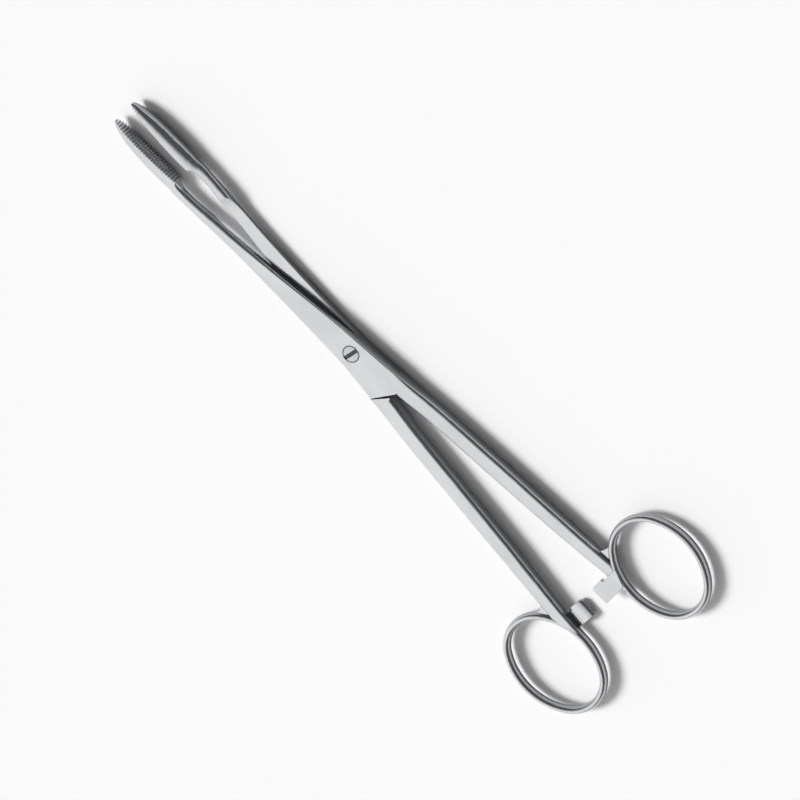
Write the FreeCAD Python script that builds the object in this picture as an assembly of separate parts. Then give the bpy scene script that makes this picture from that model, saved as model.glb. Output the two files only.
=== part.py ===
import FreeCAD, Part
import math
import os

# Straight ring-handled dressing forceps with a screw joint, in millimetres.
# The pivot is on the Z axis, the jaws point towards +Y, and Z = 0 is the flat rear of the joint.
# One half is shaped with the jaws closed, about the joint's middle plane, where Z is 0 for it.
# The other half is the same shape turned half round the long axis, and then both are opened.

V = FreeCAD.Vector

# Reach of each feature from the pivot, along the instrument
TIP_REACH = 109.1
JAW_LENGTH = 28.8
LAP_REACH = 32.8
CORNER_REACH = 14.7
SHOULDER_DROP = 5.0
RING_REACH = 121.0

# Jaws
JAW_WIDTH = 6.4
JAW_DEPTH = 4.6
HEEL_WIDTH = 0.775
HEEL_DEPTH = 1.02
TOOTH_PITCH = 1.09
TOOTH_DEPTH = 0.5
TOOTH_GAP = 0.10
PLAIN_NOSE = 0.5
GROOVE_START = 7.7
GROOVE_LENGTH = 15.8
GROOVE_WIDTH = 2.0
GROOVE_END_WIDTH = 1.3

# Shank between the jaw and the joint
NECK_THICK = 3.4
NECK_DEPTH = 3.7
NECK_SETBACK = 1.25
WAIST_LEFT = 4.0

# Joint
JOINT_THICK = 5.1
JOINT_HALF_WIDTH = 5.35
CORNER_HALF_WIDTH = 7.35
LAP_END = 57.5
LAP_RAMP = 10.0
LAP_GAP = 0.04
WALL_GAP = 0.12
EDGE_BEVEL = 0.35
HANDLE_START_RIGHT = 6.4
SHOULDER_ROOT = 0.85

# Pivot screw
SCREW_SHANK = 3.6
SCREW_TAIL = 2.8
SCREW_HEAD = 6.0
HEAD_RIM = 0.35
HEAD_CROWN = 0.25
SLOT_WIDTH = 1.3
SLOT_DEPTH = 0.8
SLOT_TURN = -7.0
BORE_GAP = 0.04

# Handles
HANDLE_WIDTH = 6.1
HANDLE_THICK = 4.8
HANDLE_EDGE = 1.2
HANDLE_END_RISE = 11.8
HANDLE_END_OUT = 0.9
HANDLE_END_THICK = 4.0

# Finger rings
RING_OFFSET = 23.6
RING_HALF_WIDTH = 15.1
RING_HALF_LENGTH = 18.5
RING_END_RADIUS = 13.2
RING_LEAN = 6.4
RING_WIRE_WIDTH = 2.6
RING_WIRE_THICK = 3.9
WEB_THICK = 1.6
WEB_RISE = 1.6

# Catches
CATCH_RISE = 10.8
CATCH_WIDTH = 6.9
CATCH_THICK = 2.1
CATCH_ARM_THICK = 1.1
CATCH_PASS = 0.6
CATCH_TOOTH = 4.7
CATCH_CREST = 2.5
CATCH_HOOK = 0.9
CATCH_CORNER = 1.6
CATCH_GAP = 0.06
CATCH_ROOT_TURN = 60
CATCH_END_TURN = 84

# Half of the angle between the two halves in the drawn, slightly open pose
HALF_OPENING = 2.3

HEEL = TIP_REACH - JAW_LENGTH
CATCH_REACH = RING_REACH - CATCH_RISE
HALF_JOINT = JOINT_THICK / 2
BEZIER_ARC = 0.5523
BEYOND = 3.0
STATION_SPACING = 1.7


def mix(start, end, share):
    """The value that lies the given share of the way from start to end."""
    return start + (end - start) * share


def rounded_corner(start, corner, end):
    """A quarter of an ellipse from start to end, tangent to the sides that meet at the corner."""
    curve = Part.BezierCurve()
    curve.setPoles([start, start + (corner - start) * BEZIER_ARC, end + (corner - end) * BEZIER_ARC, end])
    return curve.toShape()


def section(y, left, right, half_thick, left_round, right_round):
    """Closed outline across the steel at one station, its corners rounded by (across, thick)."""
    corners = [
        (right, -half_thick, right_round),
        (right, half_thick, right_round),
        (left, half_thick, left_round),
        (left, -half_thick, left_round),
    ]
    edges = []
    ends = []
    for index, (x, z, (across, thick)) in enumerate(corners):
        along_x = V(x + math.copysign(across, left + right - 2 * x), y, z)
        along_z = V(x, y, z - math.copysign(thick, z))
        start, end = (along_x, along_z) if index % 2 == 0 else (along_z, along_x)
        ends.append((start, V(x, y, z), end))
    for index, (start, corner, end) in enumerate(ends):
        following = ends[(index + 1) % 4][0]
        edges.append(rounded_corner(start, corner, end))
        edges.append(Part.LineSegment(end, following).toShape())
    return Part.Wire(edges)


def smooth_slopes(places, values):
    """Slopes of a fair curve through the values that never swings past them."""
    steps = [(values[i + 1] - values[i]) / (places[i + 1] - places[i]) for i in range(len(places) - 1)]
    slopes = [steps[0]]
    for before, after in zip(steps, steps[1:]):
        slopes.append(2 * before * after / (before + after) if before * after > 0 else 0.0)
    return slopes + [steps[-1]]


def faired(stations):
    """The stations with more between them, each size following a fair curve along the steel."""
    places = [station[0] for station in stations]
    columns = list(zip(*stations))
    slopes = [smooth_slopes(places, column) for column in columns]
    filled = []
    for i in range(len(stations) - 1):
        length = places[i + 1] - places[i]
        count = max(1, round(abs(length) / STATION_SPACING))
        for step in range(count):
            t = step / count
            filled.append([
                (2 * t**3 - 3 * t**2 + 1) * column[i] + (3 * t**2 - 2 * t**3) * column[i + 1]
                + length * ((t**3 - 2 * t**2 + t) * slope[i] + (t**3 - t**2) * slope[i + 1])
                for column, slope in zip(columns, slopes)
            ])
    return filled + [stations[-1]]


def bar(stations):
    """A solid through the stations: place, left, right, half thickness and the edge roundings."""
    wires = []
    for y, left, right, half, left_across, left_thick, right_across, right_thick in stations:
        wires.append(section(y, left, right, half, (left_across, left_thick), (right_across, right_thick)))
    return Part.makeLoft(wires, True, False)


def spline(points):
    curve = Part.BSplineCurve()
    curve.interpolate(points)
    return curve.toShape()


def prism(points, low, high):
    """A straight-sided block with the given outline in plan, between two heights."""
    outline = Part.makePolygon([V(x, y, low) for x, y in points + points[:1]])
    return Part.Face(outline).extrude(V(0, 0, high - low))


def jaw_blank():
    """The jaw before its gripping face is cut: narrow rounded nose, oval back, full at the heel."""
    # Shares of the jaw's length from the tip, of its width and of its depth
    profile = [
        (0.0, 0.18, 0.14),
        (0.01, 0.28, 0.21),
        (0.035, 0.42, 0.31),
        (0.09, 0.61, 0.44),
        (0.17, 0.80, 0.58),
        (0.28, 0.92, 0.73),
        (0.45, 0.99, 0.87),
        (0.62, 1.0, 0.95),
        (0.80, 0.94, 1.0),
        (1.0, HEEL_WIDTH, HEEL_DEPTH),
    ]
    stations = []
    for along, width, depth in profile:
        half = JAW_WIDTH / 2 * width
        back = JAW_DEPTH * depth
        stations.append((TIP_REACH - JAW_LENGTH * along, -back, TOOTH_DEPTH, half,
                         0.8 * back, 0.8 * half, 0.1, 0.15 * half))
    return bar(faired(stations))


def jaw_face_cutter(shift):
    """Everything in front of a gripping face whose cross serrations are shifted along the jaw."""
    crest = -TOOTH_GAP / 2 + TOOTH_DEPTH / 2
    valley = crest - TOOTH_DEPTH
    count = math.ceil(JAW_LENGTH / TOOTH_PITCH) + 1
    start = TIP_REACH - PLAIN_NOSE - shift * TOOTH_PITCH
    nose = -TOOTH_GAP / 2
    points = [(nose, TIP_REACH + BEYOND), (nose, start + TOOTH_PITCH / 4)]
    for index in range(count):
        points.append((valley, start - index * TOOTH_PITCH))
        points.append((crest, start - (index + 0.5) * TOOTH_PITCH))
    last = points[-1][1]
    points += [(BEYOND, last), (BEYOND, TIP_REACH + BEYOND)]
    return prism(points, -JAW_WIDTH, JAW_WIDTH)


def jaw_groove():
    """The boat-shaped hollow along the gripping face, round in section, deepest in the middle."""
    start = TIP_REACH - GROOVE_START
    end = start - GROOVE_LENGTH
    end_radius = GROOVE_END_WIDTH / 2
    shoulders = [V(end_radius, start - end_radius, 0), V(end_radius, end + end_radius, 0)]
    bulge = V(GROOVE_WIDTH / 2, (start + end) / 2, 0)
    slant = end_radius * math.sqrt(0.5)
    nose = Part.Arc(V(0, start, 0), V(slant, start - end_radius + slant, 0), shoulders[0]).toShape()
    side = Part.Arc(shoulders[0], bulge, shoulders[1]).toShape()
    tail = Part.Arc(shoulders[1], V(slant, end + end_radius - slant, 0), V(0, end, 0)).toShape()
    axis = Part.LineSegment(V(0, end, 0), V(0, start, 0)).toShape()
    face = Part.Face(Part.Wire([nose, side, tail, axis]))
    return face.revolve(V(0, 0, 0), V(0, 1, 0), 360)


def jaw_side_stations():
    """Stations down to the joint: place, left, right, half thickness and the two edge roundings."""
    neck = NECK_THICK / 2
    neck_left = -NECK_SETBACK - NECK_DEPTH
    heel_half = JAW_WIDTH / 2 * HEEL_WIDTH
    heel_left = -JAW_DEPTH * HEEL_DEPTH
    swell = mix(heel_half, neck, 0.55)
    bevel = (EDGE_BEVEL,) * 4
    heel = [
        (HEEL, heel_left, -0.35, heel_half, -0.8 * heel_left, 0.8 * heel_half, 0.5, 0.8),
        (HEEL - 1.5, neck_left, -1.0, swell, 2.8, 0.8 * swell, 0.8, 1.0),
        (HEEL - 3.2, neck_left - 0.05, -NECK_SETBACK, mix(heel_half, neck, 0.88), 2.3, 1.4, 1.0, 1.2),
        (HEEL - 6.5, neck_left, -NECK_SETBACK, neck, 1.8, 1.3, 1.3, 1.2),
    ]
    # Place, left side, and the shares of the right side's and the thickness's growth to the joint
    swelling = [
        (mix(HEEL, LAP_REACH, 0.3), mix(neck_left, -WAIST_LEFT, 0.26), 0.06, 0.15, (1.5, 1.2, 1.3, 1.2)),
        (mix(HEEL, LAP_REACH, 0.45), mix(neck_left, -WAIST_LEFT, 0.68), 0.16, 0.35, (1.3, 1.2, 1.3, 1.2)),
        (mix(HEEL, LAP_REACH, 0.73), -WAIST_LEFT, 0.333, 0.65, (1.0,) * 4),
        (LAP_REACH, -mix(WAIST_LEFT, JOINT_HALF_WIDTH, 0.07), 0.53, 0.92, (0.7,) * 4),
        (LAP_REACH * 0.6, -mix(WAIST_LEFT, JOINT_HALF_WIDTH, 0.3), 0.758, 1.0, (0.45,) * 4),
        (LAP_REACH * 0.2, -mix(WAIST_LEFT, JOINT_HALF_WIDTH, 0.7), 0.94, 1.0, bevel),
        (0.0, -JOINT_HALF_WIDTH, 1.0, 1.0, bevel),
    ]
    shank = [
        (y, left, mix(-NECK_SETBACK, JOINT_HALF_WIDTH, right), mix(neck, HALF_JOINT, thick)) + edges
        for y, left, right, thick, edges in swelling
    ]
    middle_left = -mix(JOINT_HALF_WIDTH, CORNER_HALF_WIDTH, 0.48)
    middle_right = mix(JOINT_HALF_WIDTH, HANDLE_START_RIGHT, 0.48)
    return heel + shank + [
        (-CORNER_REACH * 0.5, middle_left, middle_right, HALF_JOINT) + bevel,
        (-CORNER_REACH, -CORNER_HALF_WIDTH, HANDLE_START_RIGHT, HALF_JOINT) + bevel,
    ]


def handle_stations():
    """Stations from the joint's corner to the ring's wire, in the same order."""
    half = HANDLE_THICK / 2
    end_half = HANDLE_END_THICK / 2
    length = RING_REACH - HANDLE_END_RISE - CORNER_REACH
    start_centre = SHOULDER_ROOT + HANDLE_WIDTH / 2
    end_centre = ring_point(90).x + HANDLE_END_OUT
    shoulder_right = SHOULDER_ROOT + 0.975 * HANDLE_WIDTH
    # Shares of the handle's length, of its way outwards, of its width and of its thinning
    profile = [
        (0.193, 0.20, 1.02, 0.0),
        (0.364, 0.37, 1.02, 0.0),
        (0.541, 0.53, 1.0, 0.0),
        (0.728, 0.70, 0.95, 0.0),
        (0.895, 0.88, 0.88, 0.4),
        (1.0, 1.0, 0.82, 1.0),
    ]
    stations = [
        (-CORNER_REACH, SHOULDER_ROOT, HANDLE_START_RIGHT, HALF_JOINT) + (EDGE_BEVEL,) * 4,
        (-CORNER_REACH - SHOULDER_DROP, SHOULDER_ROOT, shoulder_right, HALF_JOINT) + (0.8,) * 4,
    ]
    for along, out, width, thinning in profile:
        centre = mix(start_centre, end_centre, out)
        reach = HANDLE_WIDTH / 2 * width
        stations.append((-CORNER_REACH - length * along, centre - reach, centre + reach,
                         mix(half, end_half, thinning)) + (HANDLE_EDGE,) * 4)
    return stations


def ring_root():
    """The handle's end, which runs down along the ring and thins out inside the ring's wire."""
    start = handle_stations()[-1]
    middle = ring_point(78)
    end = ring_point(100)
    inside = 0.87 * RING_WIRE_WIDTH / 2
    end_half = 0.87 * RING_WIRE_THICK / 2
    oval = (0.9 * inside, 0.9 * end_half) * 2
    return bar([
        start,
        (middle.y, mix(start[1], end.x - inside, 0.4), middle.x + inside, mix(start[3], end_half, 0.5))
        + (HANDLE_EDGE,) * 4,
        (end.y, end.x - inside, end.x + inside, end_half) + oval,
    ])


def shoulder_wedge():
    """The slanted shoulder that carries the joint's corner across to the handle."""
    corner = (-CORNER_HALF_WIDTH, -CORNER_REACH)
    root = (SHOULDER_ROOT, -CORNER_REACH - SHOULDER_DROP)
    return prism([corner, root, (3.0, root[1]), (3.0, -CORNER_REACH)], -HALF_JOINT, HALF_JOINT)


def ring_arcs():
    """The ring's centre line as four arcs: (centre, radius, first angle, sweep) from the long axis."""
    ends = RING_HALF_LENGTH - RING_END_RADIUS
    flatter = RING_HALF_WIDTH - RING_END_RADIUS
    side_radius = (RING_HALF_WIDTH**2 + ends**2 - RING_END_RADIUS**2) / (2 * flatter)
    sides = side_radius - RING_HALF_WIDTH
    join = math.degrees(math.atan2(ends, sides))
    return [
        (V(0, ends, 0), RING_END_RADIUS, join, 180 - 2 * join),
        (V(sides, 0, 0), side_radius, 180 - join, 2 * join),
        (V(0, -ends, 0), RING_END_RADIUS, 180 + join, 180 - 2 * join),
        (V(-sides, 0, 0), side_radius, -join, 2 * join),
    ]


def wire_section(x):
    """The oval section of the ring's wire, standing on the X axis at the given distance."""
    centre = V(x, 0, 0)
    oval = Part.Ellipse(V(x, 0, RING_WIRE_THICK / 2), V(x + RING_WIRE_WIDTH / 2, 0, 0), centre)
    halves = [Part.ArcOfEllipse(oval, 0, math.pi), Part.ArcOfEllipse(oval, math.pi, 2 * math.pi)]
    return Part.Face(Part.Wire([half.toShape() for half in halves]))


def leaned(shape):
    """Move a shape drawn about the ring's own centre to its place beside the long axis."""
    shape.rotate(V(0, 0, 0), V(0, 0, 1), -RING_LEAN)
    shape.translate(V(RING_OFFSET, -RING_REACH, 0))
    return shape


def finger_ring():
    """An oval loop of oval wire, leaning with its lower end towards the long axis."""
    bends = []
    for centre, radius, first, sweep in ring_arcs():
        bend = wire_section(radius).revolve(V(0, 0, 0), V(0, 0, 1), sweep)
        bend.rotate(V(0, 0, 0), V(0, 0, 1), first)
        bend.translate(centre)
        bends.append(bend)
    return leaned(bends[0].multiFuse(bends[1:]))


def ring_point(turn):
    """A point on the ring's oval, turned from its upper end towards the handle by some degrees."""
    along = RING_HALF_LENGTH * math.cos(math.radians(turn))
    across = -RING_HALF_WIDTH * math.sin(math.radians(turn))
    return leaned(Part.Vertex(across, along, 0)).Point


def ring_web():
    """The thin web that fills the sharp corner between the handle and the outside of the ring."""
    rim = [V(*ring_point(turn)) for turn in (30, 45, 65)]
    handle = V(rim[2].x, rim[0].y + WEB_RISE, 0)
    hollow = V(mix(rim[2].x, rim[0].x, 0.3), rim[0].y + 0.2 * WEB_RISE, 0)
    outline = Part.Wire([
        Part.Arc(handle, hollow, rim[0]).toShape(),
        Part.Arc(*rim).toShape(),
        Part.LineSegment(rim[2], handle).toShape(),
    ])
    web = Part.Face(outline).extrude(V(0, 0, WEB_THICK))
    web.translate(V(0, 0, -WEB_THICK / 2))
    return web


def catch_plan():
    """Outline of the catch from the front: a wider rounded head on a slightly narrower arm."""
    nose = -CATCH_PASS
    low = -CATCH_REACH - CATCH_WIDTH
    high = -CATCH_REACH
    root = ring_point(CATCH_ROOT_TURN).x
    low_root = ring_point(CATCH_END_TURN).x
    soft = CATCH_CORNER
    hard = CATCH_CORNER / 2
    slant = 1 - math.sqrt(0.5)
    upper = [V(nose + soft, high, 0), V(nose + soft * slant, high - soft * slant, 0), V(nose, high - soft, 0)]
    lower = [V(nose, low + hard, 0), V(nose + hard * slant, low + hard * slant, 0), V(nose + hard, low, 0)]
    edges = [
        Part.LineSegment(V(root, high - CATCH_HOOK, 0), V(CATCH_TOOTH, high - CATCH_HOOK, 0)),
        Part.LineSegment(V(CATCH_TOOTH, high - CATCH_HOOK, 0), V(CATCH_TOOTH, high, 0)),
        Part.LineSegment(V(CATCH_TOOTH, high, 0), upper[0]),
        Part.Arc(*upper),
        Part.LineSegment(upper[-1], lower[0]),
        Part.Arc(*lower),
        Part.LineSegment(lower[-1], V(low_root, low, 0)),
        Part.LineSegment(V(low_root, low, 0), V(root, high - CATCH_HOOK, 0)),
    ]
    face = Part.Face(Part.Wire([edge.toShape() for edge in edges]))
    return face.extrude(V(0, 0, HALF_JOINT))


def catch():
    """One catch: a flat arm whose underside carries a tooth, steep behind and sloping to the nose."""
    top = CATCH_GAP / 2 + CATCH_THICK
    crest = CATCH_GAP / 2
    under = top - CATCH_ARM_THICK
    root = ring_point(CATCH_ROOT_TURN).x
    nose = -CATCH_PASS
    y = -CATCH_REACH - CATCH_WIDTH
    flank = V(CATCH_TOOTH - 0.15, y, crest + 0.2)
    slope = V(nose + 0.9, y, crest + 0.45)
    tip_low = V(nose, y, top - 0.9)
    tip_high = V(nose + 0.35, y, top)
    edges = [
        Part.LineSegment(V(root, y, under), V(CATCH_TOOTH, y, under)),
        Part.LineSegment(V(CATCH_TOOTH, y, under), flank),
        Part.Arc(flank, V(CATCH_CREST, y, crest), slope),
        Part.LineSegment(slope, tip_low),
        Part.Arc(tip_low, V(nose + 0.08, y, top - 0.3), tip_high),
        Part.LineSegment(tip_high, V(root, y, top)),
        Part.LineSegment(V(root, y, top), V(root, y, under)),
    ]
    face = Part.Face(Part.Wire([edge.toShape() for edge in edges]))
    return face.extrude(V(0, CATCH_WIDTH, 0)).common(catch_plan())


def other_lap():
    """The room that the other half's lap takes up at the joint, jaws closed, with its clearances."""
    side = [station[:3] for station in faired(jaw_side_stations()[4:])]
    outer = [V(-left + WALL_GAP, y, 0) for y, left, right in side]
    inner = [V(-right - WALL_GAP, y, 0) for y, left, right in side if y >= 0]
    shoulder = V(-SHOULDER_ROOT - CORNER_HALF_WIDTH, -SHOULDER_DROP, 0)
    step = V(shoulder.y, -shoulder.x, 0).normalize() * -WALL_GAP
    corner = V(CORNER_HALF_WIDTH, -CORNER_REACH, 0) + step
    root = V(-SHOULDER_ROOT, -CORNER_REACH - SHOULDER_DROP, 0) + step
    outer[-1] = corner
    far = -2 * CORNER_HALF_WIDTH
    corners = [root, V(far, root.y, 0), V(far, inner[-1].y, 0), inner[-1]]
    edges = [spline(outer), Part.LineSegment(corner, root).toShape()]
    edges += [Part.LineSegment(start, end).toShape() for start, end in zip(corners, corners[1:])]
    edges += [spline(inner[::-1]), Part.LineSegment(inner[0], outer[0]).toShape()]
    face = Part.Face(Part.Wire(Part.__sortEdges__(edges)))
    face.translate(V(0, 0, -JOINT_THICK))
    return face.extrude(V(0, 0, JOINT_THICK + LAP_GAP / 2))


def lap_flat():
    """The room behind the whole lap on the jaw side: flat, then sloping down to the shank's back."""
    top = LAP_GAP / 2
    low = -JOINT_THICK
    slope_end = V(0, LAP_END + LAP_RAMP, -0.76 * NECK_THICK)
    slope = Part.BezierCurve()
    slope.setPoles([
        V(0, LAP_END, top),
        V(0, LAP_END + 0.4 * LAP_RAMP, top),
        V(0, LAP_END + 0.67 * LAP_RAMP, -0.3 * NECK_THICK),
        slope_end,
    ])
    corners = [slope_end, V(0, slope_end.y, low), V(0, 0, low), V(0, 0, top), V(0, LAP_END, top)]
    edges = [slope.toShape()]
    edges += [Part.LineSegment(start, end).toShape() for start, end in zip(corners, corners[1:])]
    face = Part.Face(Part.Wire(edges))
    face.translate(V(-2 * CORNER_HALF_WIDTH, 0, 0))
    return face.extrude(V(4 * CORNER_HALF_WIDTH, 0, 0))


def forging(shift):
    """One half in one piece, jaws closed: jaw, shank, upper lap, handle, ring and catch."""
    jaw = jaw_blank().cut(jaw_face_cutter(shift)).cut(jaw_groove())
    handle = bar(faired(handle_stations())).fuse(ring_root())
    shank = bar(faired(jaw_side_stations())).fuse(handle).fuse(shoulder_wedge())
    grip = finger_ring().fuse(ring_web()).fuse(catch())
    return jaw.fuse(shank).fuse(grip).cut(other_lap()).cut(lap_flat())


def turned(profile):
    """A solid turned about the pivot axis from (radius, height) points."""
    points = [V(radius, 0, height) for radius, height in profile]
    face = Part.Face(Part.makePolygon(points + points[:1]))
    return face.revolve(V(0, 0, 0), V(0, 0, 1), 360)


def screw_outline(gap):
    """Radius and height down the screw's head and shank, grown by a gap, above the lap."""
    head = SCREW_HEAD / 2 + gap
    shank = SCREW_SHANK / 2 + gap
    rim = HALF_JOINT - HEAD_RIM
    return [(head, HALF_JOINT), (head, rim), (shank, rim - (head - shank))]


def pivot_screw():
    """Slotted screw: low domed head, cone under it, plain shank, and a thinner riveted tail."""
    lap = -LAP_GAP / 2
    tail = SCREW_TAIL / 2
    shank = SCREW_SHANK / 2
    body = turned([(0, HALF_JOINT)] + screw_outline(0)
                  + [(shank, lap), (tail, lap), (tail, -HALF_JOINT), (0, -HALF_JOINT)])
    head = SCREW_HEAD / 2
    dome_radius = (head**2 + HEAD_CROWN**2) / (2 * HEAD_CROWN)
    ball = Part.makeSphere(dome_radius, V(0, 0, HALF_JOINT + HEAD_CROWN - dome_radius))
    dome = ball.common(Part.makeCylinder(head, HEAD_CROWN, V(0, 0, HALF_JOINT)))
    slot = Part.makeBox(2 * SCREW_HEAD, SLOT_WIDTH, SLOT_DEPTH + BEYOND)
    slot.translate(V(-SCREW_HEAD, -SLOT_WIDTH / 2, HALF_JOINT + HEAD_CROWN - SLOT_DEPTH))
    slot.rotate(V(0, 0, 0), V(0, 0, 1), SLOT_TURN)
    return body.fuse(dome).cut(slot)


def front_half():
    """The half whose lap lies in front, bored and countersunk for the screw."""
    room = screw_outline(BORE_GAP)
    bore = turned([(0, HALF_JOINT + BEYOND), (room[0][0], HALF_JOINT + BEYOND)] + room[1:]
                  + [(SCREW_SHANK / 2 + BORE_GAP, -BEYOND), (0, -BEYOND)])
    return forging(0.0).cut(bore)


def rear_half():
    """The same forging turned half round the long axis, with the hole for the screw's tail."""
    half = forging(0.5)
    half.rotate(V(0, 0, 0), V(0, 1, 0), 180)
    return half.cut(Part.makeCylinder(SCREW_TAIL / 2, JOINT_THICK, V(0, 0, -JOINT_THICK)))


def placed(shape, opening):
    """Open a closed-pose shape about the pivot and lift it so that the joint's rear is at Z = 0."""
    shape.rotate(V(0, 0, 0), V(0, 0, 1), opening)
    shape.translate(V(0, 0, HALF_JOINT))
    return shape


def main():
    os.makedirs("parts", exist_ok=True)
    placed(front_half(), HALF_OPENING).exportStep("parts/front_half.step")
    placed(rear_half(), -HALF_OPENING).exportStep("parts/rear_half.step")
    placed(pivot_screw(), -HALF_OPENING).exportStep("parts/pivot_screw.step")


main()
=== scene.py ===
import math

import bmesh
import bpy
from mathutils import Matrix, Vector


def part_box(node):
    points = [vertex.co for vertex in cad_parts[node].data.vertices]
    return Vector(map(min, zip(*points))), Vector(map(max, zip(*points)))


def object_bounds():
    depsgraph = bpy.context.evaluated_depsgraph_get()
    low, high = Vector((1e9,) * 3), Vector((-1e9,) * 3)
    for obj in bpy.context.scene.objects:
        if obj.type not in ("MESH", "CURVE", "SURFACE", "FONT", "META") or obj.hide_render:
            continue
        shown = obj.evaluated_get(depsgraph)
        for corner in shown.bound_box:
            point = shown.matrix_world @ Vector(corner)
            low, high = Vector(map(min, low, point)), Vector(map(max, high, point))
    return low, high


bl_info = {
    "name": "Dressing Forceps",
    "version": (1, 0, 0),
    "blender": (4, 5, 0),
    "location": "View3D > Sidebar > Forceps",
    "description": "Dresses the packed forceps in polished steel on a pale table",
    "category": "Object",
}

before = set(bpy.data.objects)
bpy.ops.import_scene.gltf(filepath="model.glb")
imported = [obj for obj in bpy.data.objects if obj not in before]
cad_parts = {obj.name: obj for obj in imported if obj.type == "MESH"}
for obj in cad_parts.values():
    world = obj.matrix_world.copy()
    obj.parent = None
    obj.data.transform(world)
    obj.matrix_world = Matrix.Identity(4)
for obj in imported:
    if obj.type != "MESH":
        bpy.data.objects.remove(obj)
CAD_BOX = [list(corner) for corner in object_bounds()]

# Places on the instrument
SCREW_FACE_HEIGHT = 0.0051
JAW_ROOT = 0.078
JAW_ROOT_FADE = 0.001

# Picture's size and scale, the screw's place in it and the direction of the axis
IMAGE_PIXELS = 800
METRES_PER_PIXEL = 0.0003277
SCREW_PIXEL = (350.9, 354.2)
AXIS_ACROSS = 0.6927
AXIS_DOWN = 0.7213

# Camera's far limit, in its distances from the instrument
FAR_LIMIT = 10

# Side of the lamp, bright side of the surroundings and where its brightness grows
KEY_SIDE = (-1.3, 1.1, 1.6)
BRIGHT_SIDE = (-0.75, 0.1, 0.65)
BRIGHT_RANGE = (0.35, 0.95)

# Table
TABLE_ROUGHNESS = 0.8
TABLE_SPECULAR = 0.2

# Noise of the steel, and the ranges of it that are used
STREAK_SCALE = 2600.0
STREAK_DETAIL = 3.0
STREAK_RANGE = (0.3, 0.7)
CLOUD_SCALE = 110.0
CLOUD_DETAIL = 2.0
CLOUD_STRETCH = (1.0, 0.6, 1.0)
CLOUD_RANGE = (0.3, 0.7)
CLOUD_COLOUR_RANGE = (0.35, 0.65)

# Where each finish, painted shade and painted highlight of the steel starts and is full
SIDE_RANGE = (0.7, 0.25)
GRIP_RANGE = (-0.3, -0.6)
EDGE_RANGE = (0.95, 0.75)
CREVICE_RANGE = (0.85, 0.3)

# Strength of each finish, and of the painted highlight on worn edges
DULL_TONE = 0.93
WORN_AND_HIGHLIGHT_TONE = 1.06
STREAK_GLOSS = 0.04
CLOUD_GLOSS = (-0.03, 0.05)
EDGE_GLOSS = 0.06
BUMP_STRENGTH = 0.06
BUMP_DEPTH = 0.0001

# Steel of the halves and of the screw, whose steel is painted a shade darker
HALF_TONE = 1.0
HALF_GRAIN = 0.06
SCREW_SHADED_TONE = 0.9
SCREW_GRAIN = 1.0

# Screw's painted rim shade and the ends of the painted shade in its slot, in shares of the
# head's radius
RIM_START = 0.84
RIM_FULL = 0.93
SLOT_END = 0.78

# Strength of the painted rim shade, and how far under the joint's face the painted shade
# in the slot is full
RIM_DARKNESS = 0.85
SLOT_DROP = 0.0001

# Sockets of a Mix node that mixes colours
MIX_SHARE = 0
MIX_FIRST = 6
MIX_SECOND = 7
MIX_RESULT = 2


class StudioSettings(bpy.types.PropertyGroup):
    """Camera, table, lamp and surroundings."""

    camera_tilt: bpy.props.FloatProperty(
        name="Camera Tilt",
        description="Angle between the line of sight and the pivot's axis, towards +X",
        default=math.radians(35.0), subtype="ANGLE")
    camera_lens: bpy.props.FloatProperty(
        name="Lens", description="Focal length on a sensor 36 mm wide",
        default=400.0, min=50.0, unit="CAMERA")
    table_colour: bpy.props.FloatVectorProperty(
        name="Table Colour", description="Colour of the plain table",
        default=(0.95, 0.95, 0.95), size=3, min=0.0, max=1.0, subtype="COLOR")
    table_size: bpy.props.FloatProperty(
        name="Table Size", description="Width of the table",
        default=6.0, min=1.0, unit="LENGTH")
    key_strength: bpy.props.FloatProperty(
        name="Key Strength", description="Strength of the soft lamp above on the left",
        default=2.75, min=0.0)
    key_spread: bpy.props.FloatProperty(
        name="Key Spread",
        description="Angle that the soft lamp fills, which softens the shadow",
        default=math.radians(22.0), subtype="ANGLE")
    bright_sky: bpy.props.FloatProperty(
        name="Bright Side",
        description="Brightness of the surroundings above on the left",
        default=0.95, min=0.0)
    dark_sky: bpy.props.FloatProperty(
        name="Dark Side", description="Brightness of the other surroundings",
        default=0.09, min=0.0)


class SteelSettings(bpy.types.PropertyGroup):
    """Finish of the forged steel, with its painted shade and painted highlight."""

    colour: bpy.props.FloatVectorProperty(
        name="Steel Colour", description="Base colour of the polished steel",
        default=(0.74, 0.75, 0.76), size=3, min=0.0, max=1.0, subtype="COLOR")
    # Painted shade: the forging's sides get this darker colour in place of the shade that
    # falls on them
    painted_side_shade_colour: bpy.props.FloatVectorProperty(
        name="Side Colour",
        description="Base colour of the darker satin on the forging's sides",
        default=(0.33, 0.338, 0.343), size=3, min=0.0, max=1.0, subtype="COLOR")
    # Painted shade deep in serrations, slots and corners, also used at the screw's rim and
    # in its slot
    crevice_shade_colour: bpy.props.FloatVectorProperty(
        name="Crevice Colour",
        description="Colour deep in serrations, slots and corners",
        default=(0.09, 0.09, 0.09), size=3, min=0.0, max=1.0, subtype="COLOR")
    crevice_width: bpy.props.FloatProperty(
        name="Crevice Width", description="How far a wall darkens the steel beside it",
        default=0.0009, min=0.0, unit="LENGTH")
    roughness: bpy.props.FloatProperty(
        name="Roughness", description="Roughness of the satin polish",
        default=0.2, min=0.0, max=1.0, subtype="FACTOR")
    # Edges within this radius are painted lighter, partly as wear and partly as painted
    # highlight
    edge_width: bpy.props.FloatProperty(
        name="Edge Width", description="Radius to which the edges look worn",
        default=0.0003, min=0.0, unit="LENGTH")


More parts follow.
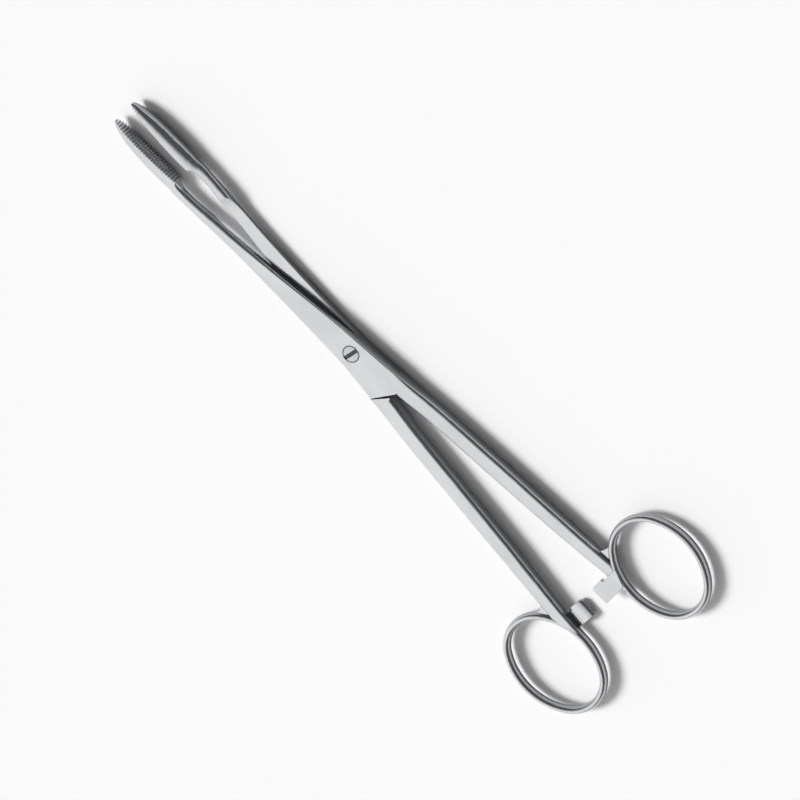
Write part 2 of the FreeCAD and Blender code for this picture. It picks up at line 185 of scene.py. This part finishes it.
class Nodes:
    """Puts the nodes of a finish or of the surroundings together."""

    def __init__(self, tree):
        self.tree = tree

    def node(self, kind, **values):
        """A new node with its inputs set, or linked where the value is an output."""
        node = self.tree.nodes.new(kind)
        for name, value in values.items():
            self.feed(node.inputs[name.replace("_", " ")], value)
        return node

    def feed(self, socket, value):
        """Set a socket to a value or link it to an output."""
        if isinstance(value, bpy.types.NodeSocket):
            self.tree.links.new(value, socket)
        else:
            socket.default_value = value

    def place(self, name):
        """Where a point of the surface or of the surroundings is, or how it faces."""
        return self.node("ShaderNodeTexCoord").outputs[name]

    def part(self, vector, name):
        """One part of a vector."""
        return self.node("ShaderNodeSeparateXYZ", Vector=vector).outputs[name]

    def likeness(self, first, second):
        """How closely two directions agree, 1 where they are the same."""
        likeness = self.node("ShaderNodeVectorMath")
        likeness.operation = "DOT_PRODUCT"
        for socket, value in zip(likeness.inputs, (first, second)):
            self.feed(socket, value)
        return likeness.outputs["Value"]

    def step(self, operation, *values):
        """One step of arithmetic."""
        step = self.node("ShaderNodeMath")
        step.operation = operation
        for socket, value in zip(step.inputs, values):
            self.feed(socket, value)
        return step.outputs["Value"]

    def spread(self, value, reach, result=(0.0, 1.0), curve="LINEAR"):
        """A value carried from one range to another and held inside it."""
        spread = self.node("ShaderNodeMapRange", Value=value,
                           From_Min=reach[0], From_Max=reach[1],
                           To_Min=result[0], To_Max=result[1])
        spread.interpolation_type = curve
        return spread.outputs["Result"]

    def noise(self, scale, detail, stretch):
        """Noise on the piece's own place, drawn out where its stretch is below 1."""
        drawn = self.node("ShaderNodeMapping", Vector=self.place("Object"),
                          Scale=stretch)
        noise = self.node("ShaderNodeTexNoise", Vector=drawn.outputs["Vector"],
                          Scale=scale, Detail=detail)
        return noise.outputs["Fac"]

    def mix(self, share, first, second):
        """The first colour where the share is 0 and the second where it is 1."""
        mix = self.node("ShaderNodeMix")
        mix.data_type = "RGBA"
        self.feed(mix.inputs[MIX_SHARE], share)
        self.feed(mix.inputs[MIX_FIRST], first)
        self.feed(mix.inputs[MIX_SECOND], second)
        return mix.outputs[MIX_RESULT]


def steel_nodes(material, steel, tone, grain):
    """Put the nodes of polished steel together, with painted shade on its sides and in its
    crevices and a painted highlight on its worn edges, and return them with their colour.
    """
    material.use_nodes = True
    nodes = Nodes(material.node_tree)
    place = nodes.place("Object")
    facing = nodes.place("Normal")
    streaks = nodes.noise(STREAK_SCALE, STREAK_DETAIL, (1.0, grain, 1.0))
    clouds = nodes.noise(CLOUD_SCALE, CLOUD_DETAIL, CLOUD_STRETCH)

    # Painted shade: the forging's sides, by how steeply they face, are painted darker than
    # its ground faces
    side = nodes.spread(nodes.step("ABSOLUTE", nodes.part(facing, "Z")), SIDE_RANGE)

    # Gripping faces, which look towards the middle and are kept free of the painted side
    # shade
    outward = nodes.step("MULTIPLY", nodes.part(facing, "X"),
                         nodes.step("SIGN", nodes.part(place, "X")))
    jaw = nodes.spread(nodes.part(place, "Y"), (JAW_ROOT - JAW_ROOT_FADE, JAW_ROOT))
    grip = nodes.step("MULTIPLY", jaw, nodes.spread(outward, GRIP_RANGE))
    side = nodes.step("MULTIPLY", side, nodes.step("SUBTRACT", 1.0, grip))

    # Worn edges, where the rounded normal leaves the true one, painted lighter partly as
    # wear and partly as painted highlight
    rounded = nodes.node("ShaderNodeBevel", Radius=steel.edge_width).outputs["Normal"]
    true = nodes.node("ShaderNodeNewGeometry").outputs["Normal"]
    worn_edge_highlight = nodes.spread(nodes.likeness(rounded, true), EDGE_RANGE)

    # Painted shade in crevices, where the walls beside a place shut out its surroundings
    openness = nodes.node("ShaderNodeAmbientOcclusion", Distance=steel.crevice_width)
    painted_crevice_shade = nodes.spread(openness.outputs["AO"], CREVICE_RANGE)

    # Colour, with the painted side shade, the painted highlight on worn edges and the
    # painted crevice shade
    plain = [tone * channel for channel in steel.colour]
    dull = [DULL_TONE * channel for channel in plain]
    # Painted highlight: a lighter copy of the steel's colour for worn edges, partly as
    # wear
    worn = [min(1.0, WORN_AND_HIGHLIGHT_TONE * channel) for channel in plain]
    clouded = nodes.spread(clouds, CLOUD_COLOUR_RANGE)
    colour = nodes.mix(clouded, (*plain, 1.0), (*dull, 1.0))
    colour = nodes.mix(side, colour, (*steel.painted_side_shade_colour, 1.0))
    colour = nodes.mix(worn_edge_highlight, colour, (*worn, 1.0))
    colour = nodes.mix(painted_crevice_shade, colour, (*steel.crevice_shade_colour, 1.0))

    # Gloss and grain
    satin = (steel.roughness - STREAK_GLOSS, steel.roughness + STREAK_GLOSS)
    gloss = nodes.step("ADD", nodes.spread(streaks, STREAK_RANGE, satin),
                       nodes.spread(clouds, CLOUD_RANGE, CLOUD_GLOSS))
    gloss = nodes.step("ADD", gloss, nodes.step("MULTIPLY", worn_edge_highlight, EDGE_GLOSS))
    bump = nodes.node("ShaderNodeBump", Strength=BUMP_STRENGTH, Distance=BUMP_DEPTH,
                      Height=streaks, Normal=rounded)
    shader = nodes.tree.nodes["Principled BSDF"]
    shader.inputs["Metallic"].default_value = 1.0
    nodes.feed(shader.inputs["Roughness"], gloss)
    nodes.feed(shader.inputs["Normal"], bump.outputs["Normal"])
    return nodes, shader, colour


def half_steel(name, steel):
    """The halves' steel, with its grain along the instrument."""
    material = bpy.data.materials.new(name)
    nodes, shader, colour = steel_nodes(material, steel, HALF_TONE, HALF_GRAIN)
    nodes.feed(shader.inputs["Base Color"], colour)
    return material


def screw_steel(name, steel, box):
    """The screw's steel, painted a shade darker than the halves', with painted shade round
    its head's rim and in its slot.
    """
    material = bpy.data.materials.new(name)
    nodes, shader, colour = steel_nodes(material, steel, SCREW_SHADED_TONE, SCREW_GRAIN)
    # Colour of the painted crevice shade, used for the painted shade at the rim and in the
    # slot
    dark = (*steel.crevice_shade_colour, 1.0)
    head_radius = box[1][0]
    crown = box[1][2]
    place = nodes.place("Object")
    across, along, height = [nodes.part(place, axis) for axis in "XYZ"]
    square = nodes.step("MULTIPLY_ADD", across, across,
                        nodes.step("MULTIPLY", along, along))
    radius = nodes.step("SQRT", square)

    # Painted shade round the head's rim
    rim = nodes.spread(radius, (RIM_START * head_radius, RIM_FULL * head_radius),
                       (0.0, RIM_DARKNESS))
    colour = nodes.mix(rim, colour, dark)

    # Painted shade in the slot, inside the rim, under the head's crown and above the
    # joint's middle
    slot_top = (crown + SCREW_FACE_HEIGHT) / 2
    sunk = nodes.spread(height, (SCREW_FACE_HEIGHT - SLOT_DROP, slot_top), (1.0, 0.0))
    inside = nodes.spread(radius, (SLOT_END * head_radius, RIM_START * head_radius),
                          (1.0, 0.0))
    lifted = nodes.step("GREATER_THAN", height, SCREW_FACE_HEIGHT / 2)
    slot = nodes.step("MULTIPLY", nodes.step("MULTIPLY", sunk, inside), lifted)
    nodes.feed(shader.inputs["Base Color"], nodes.mix(slot, colour, dark))
    return material


def give_material(piece, material):
    """Make the material the only one of a piece."""
    piece.data.materials.clear()
    piece.data.materials.append(material)


class FORCEPS_OT_stage(bpy.types.Operator):
    """Make the camera, the pale table, the soft lamp and the surroundings."""

    bl_idname = "forceps.stage"
    bl_label = "Stage"

    def execute(self, context):
        studio = context.scene.forceps_studio
        self.make_camera(context, studio)
        self.make_table(context, studio)
        self.make_key(context, studio)
        self.make_sky(context, studio)
        context.scene.view_settings.view_transform = "Standard"
        return {"FINISHED"}

    def make_camera(self, context, studio):
        """A far camera, with the screw and the axis where the picture has them."""
        tilt = studio.camera_tilt
        turn = math.atan2(AXIS_ACROSS, AXIS_DOWN)
        back = Vector((math.sin(tilt), 0.0, math.cos(tilt)))
        across = Vector((math.cos(tilt), 0.0, -math.sin(tilt)))
        along = Vector((0.0, 1.0, 0.0))
        right = math.cos(turn) * across - math.sin(turn) * along
        up = math.sin(turn) * across + math.cos(turn) * along
        middle = IMAGE_PIXELS / 2
        aim = Vector((0.0, 0.0, SCREW_FACE_HEIGHT))
        aim += right * (middle - SCREW_PIXEL[0]) * METRES_PER_PIXEL
        aim -= up * (middle - SCREW_PIXEL[1]) * METRES_PER_PIXEL
        lens = bpy.data.cameras.new("camera")
        lens.lens = studio.camera_lens
        reach = IMAGE_PIXELS * METRES_PER_PIXEL * lens.lens / lens.sensor_width
        lens.clip_end = FAR_LIMIT * reach
        camera = bpy.data.objects.new("camera", lens)
        context.scene.collection.objects.link(camera)
        place = Matrix((right, up, back)).transposed().to_4x4()
        place.translation = aim + back * reach
        camera.matrix_world = place
        context.scene.camera = camera

    def make_table(self, context, studio):
        """A wide plain table just under the instrument."""
        shape = bmesh.new()
        bmesh.ops.create_grid(shape, x_segments=1, y_segments=1,
                              size=studio.table_size / 2)
        bmesh.ops.translate(shape, verts=shape.verts, vec=(0.0, 0.0, CAD_BOX[0][2]))
        mesh = bpy.data.meshes.new("table")
        shape.to_mesh(mesh)
        shape.free()
        table = bpy.data.objects.new("table", mesh)
        context.scene.collection.objects.link(table)
        paper = bpy.data.materials.new("table_white")
        paper.use_nodes = True
        shader = paper.node_tree.nodes["Principled BSDF"]
        shader.inputs["Base Color"].default_value = (*studio.table_colour, 1.0)
        shader.inputs["Roughness"].default_value = TABLE_ROUGHNESS
        shader.inputs["Specular IOR Level"].default_value = TABLE_SPECULAR
        give_material(table, paper)

    def make_key(self, context, studio):
        """One soft far lamp for an even table, which the steel doesn't mirror."""
        light = bpy.data.lights.new("key", "SUN")
        light.energy = studio.key_strength
        light.angle = studio.key_spread
        lamp = bpy.data.objects.new("key", light)
        context.scene.collection.objects.link(lamp)
        lamp.location = KEY_SIDE
        lamp.rotation_euler = (-Vector(KEY_SIDE)).to_track_quat("-Z", "Y").to_euler()
        lamp.visible_glossy = False

    def make_sky(self, context, studio):
        """Surroundings like a studio with one bright side, above on the left."""
        world = bpy.data.worlds.new("surroundings")
        world.use_nodes = True
        nodes = Nodes(world.node_tree)
        sky = nodes.tree.nodes["Background"]
        sky.inputs["Color"].default_value = (1.0, 1.0, 1.0, 1.0)
        bright = Vector(BRIGHT_SIDE).normalized()
        glow = nodes.spread(nodes.likeness(nodes.place("Generated"), bright),
                            BRIGHT_RANGE, (studio.dark_sky, studio.bright_sky),
                            "SMOOTHSTEP")
        nodes.feed(sky.inputs["Strength"], glow)
        context.scene.world = world


class FORCEPS_OT_halves(bpy.types.Operator):
    """Give both forged halves their polished steel."""

    bl_idname = "forceps.halves"
    bl_label = "Halves"

    def execute(self, context):
        steel = context.scene.forceps_steel
        for node in ("front_half", "rear_half"):
            give_material(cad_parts[node], half_steel(node + "_steel", steel))
        return {"FINISHED"}


class FORCEPS_OT_screw(bpy.types.Operator):
    """Give the pivot screw its turned and polished steel."""

    bl_idname = "forceps.screw"
    bl_label = "Screw"

    def execute(self, context):
        steel = context.scene.forceps_steel
        material = screw_steel("screw_steel", steel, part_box("pivot_screw"))
        give_material(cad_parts["pivot_screw"], material)
        return {"FINISHED"}


class FORCEPS_PT_panel(bpy.types.Panel):
    """Lists the settings and the pieces in the 3D view's sidebar."""

    bl_idname = "FORCEPS_PT_panel"
    bl_label = "Forceps"
    bl_space_type = "VIEW_3D"
    bl_region_type = "UI"
    bl_category = "Forceps"

    def draw(self, context):
        for settings in (context.scene.forceps_studio, context.scene.forceps_steel):
            for name in settings.__annotations__:
                self.layout.prop(settings, name)
        for operator in OPERATORS:
            self.layout.operator(operator.bl_idname)


OPERATORS = (FORCEPS_OT_stage, FORCEPS_OT_halves, FORCEPS_OT_screw)
CLASSES = (StudioSettings, SteelSettings, *OPERATORS, FORCEPS_PT_panel)


def register():
    for cls in CLASSES:
        bpy.utils.register_class(cls)
    bpy.types.Scene.forceps_studio = bpy.props.PointerProperty(type=StudioSettings)
    bpy.types.Scene.forceps_steel = bpy.props.PointerProperty(type=SteelSettings)


def unregister():
    del bpy.types.Scene.forceps_steel
    del bpy.types.Scene.forceps_studio
    for cls in reversed(CLASSES):
        bpy.utils.unregister_class(cls)


def main():
    register()
    bpy.ops.forceps.stage()
    bpy.ops.forceps.halves()
    bpy.ops.forceps.screw()


if __name__ == "__main__":
    main()
